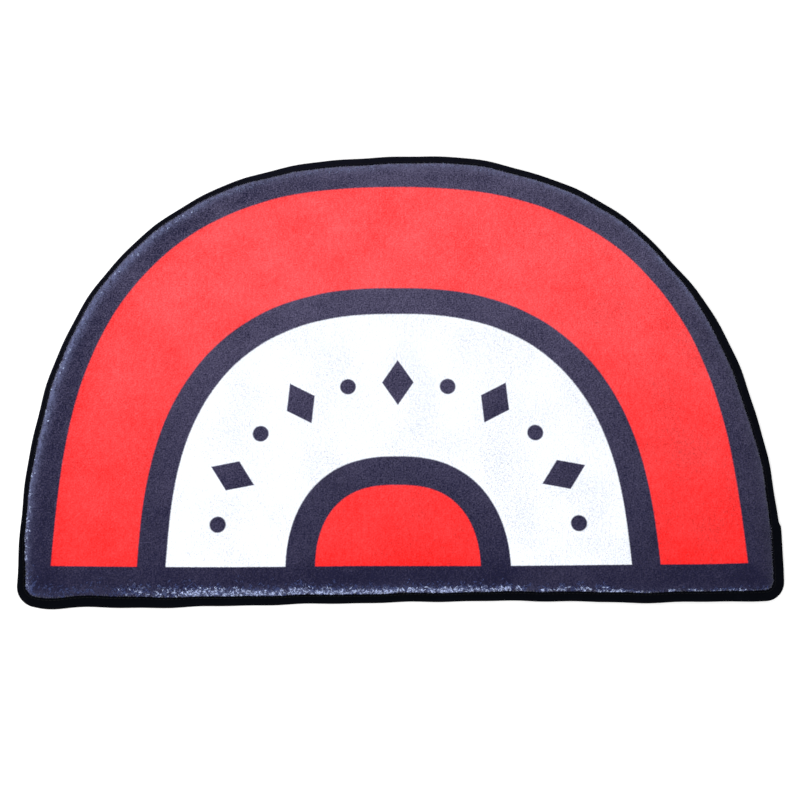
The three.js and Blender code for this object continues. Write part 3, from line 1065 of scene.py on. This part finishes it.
def underside_material():
    """A dark felted back."""
    shader = Shader("dark_back", Roughness=0.9, Sheen_Weight=0.1)
    place = millimetres(shader)
    felt = shader.noise(place, FELT_SIZE, detail=4.0)
    dark = tuple(channel * FELT_DARK for channel in UNDERSIDE_GREY)
    colour = shader.mix(felt, opaque(dark), opaque(UNDERSIDE_GREY))
    shader.tree.links.new(colour, shader.surface.inputs["Base Color"])
    shader.bump(felt, FELT_BUMP["strength"], FELT_BUMP["distance"])
    return shader.material


# Stage

FLOOR_SIZE = 60  # metres
FLOOR_GLOW = 0.12  # keeps the floor pale beside the dark mat
ROOM_LIGHT = 0.72
LIGHT_SIZE = 1.6  # metres; both lights aim at the mat's middle
LIGHTS = [
    {"name": "key", "place": (-1.6, -1.8, 2.2), "power": 62},
    {"name": "far", "place": (0.4, 2.4, 1.6), "power": 40},
]


def make_floor():
    bpy.ops.mesh.primitive_plane_add(size=FLOOR_SIZE, location=(0, 0, 0))
    floor = bpy.context.object
    floor.name = "floor"
    shader = Shader("pale_floor", Roughness=0.9)
    shader.surface.inputs["Base Color"].default_value = (1, 1, 1, 1)
    shader.surface.inputs["Specular IOR Level"].default_value = 0.1
    shader.surface.inputs["Emission Color"].default_value = (1, 1, 1, 1)
    shader.surface.inputs["Emission Strength"].default_value = FLOOR_GLOW
    floor.data.materials.append(shader.material)


def make_light(row):
    """A square light that looks from its place at the mat's middle."""
    data = bpy.data.lights.new(row["name"], "AREA")
    data.shape = "SQUARE"
    data.size = LIGHT_SIZE
    data.energy = row["power"]
    light = bpy.data.objects.new(row["name"], data)
    x, y, z = row["place"]
    light.location = (x, y, z)
    light.rotation_euler = (math.atan2(math.hypot(x, y), z), 0, math.atan2(x, -y))
    bpy.context.collection.objects.link(light)


def make_lights():
    world = bpy.data.worlds.new("soft_room")
    world.use_nodes = True
    background = world.node_tree.nodes["Background"]
    background.inputs["Color"].default_value = (1, 1, 1, 1)
    background.inputs["Strength"].default_value = ROOM_LIGHT
    bpy.context.scene.world = world
    for row in LIGHTS:
        make_light(row)


def make_camera():
    data = bpy.data.cameras.new("camera")
    data.lens = LENS
    data.sensor_width = SENSOR
    camera = bpy.data.objects.new("camera", data)
    place = (-CAMERA_LEFT - CENTRE[0], -CAMERA_BACK - CENTRE[1], CAMERA_HEIGHT)
    camera.location = [value * MM for value in place]
    camera.rotation_euler = (math.radians(CAMERA_TILT), 0, math.radians(CAMERA_TURN))
    bpy.context.collection.objects.link(camera)
    bpy.context.scene.camera = camera


make_camera()
pad = make_pad([printed_pile("printed_pile", bumped=True), underside_material()])
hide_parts("pile_pad")
tape = make_tape(black_tape())
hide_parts("edge_tape")
make_stitches(thread_material())
make_tufts(printed_pile("pile_tips", bumped=False))
for strand in STRANDS:
    material = strand_material(strand["name"], strand["colour"])
    make_strands(strand["name"], strand["rows"], strand["width"], material)
make_floor()
make_lights()
bpy.context.scene.view_settings.view_transform = "Standard"
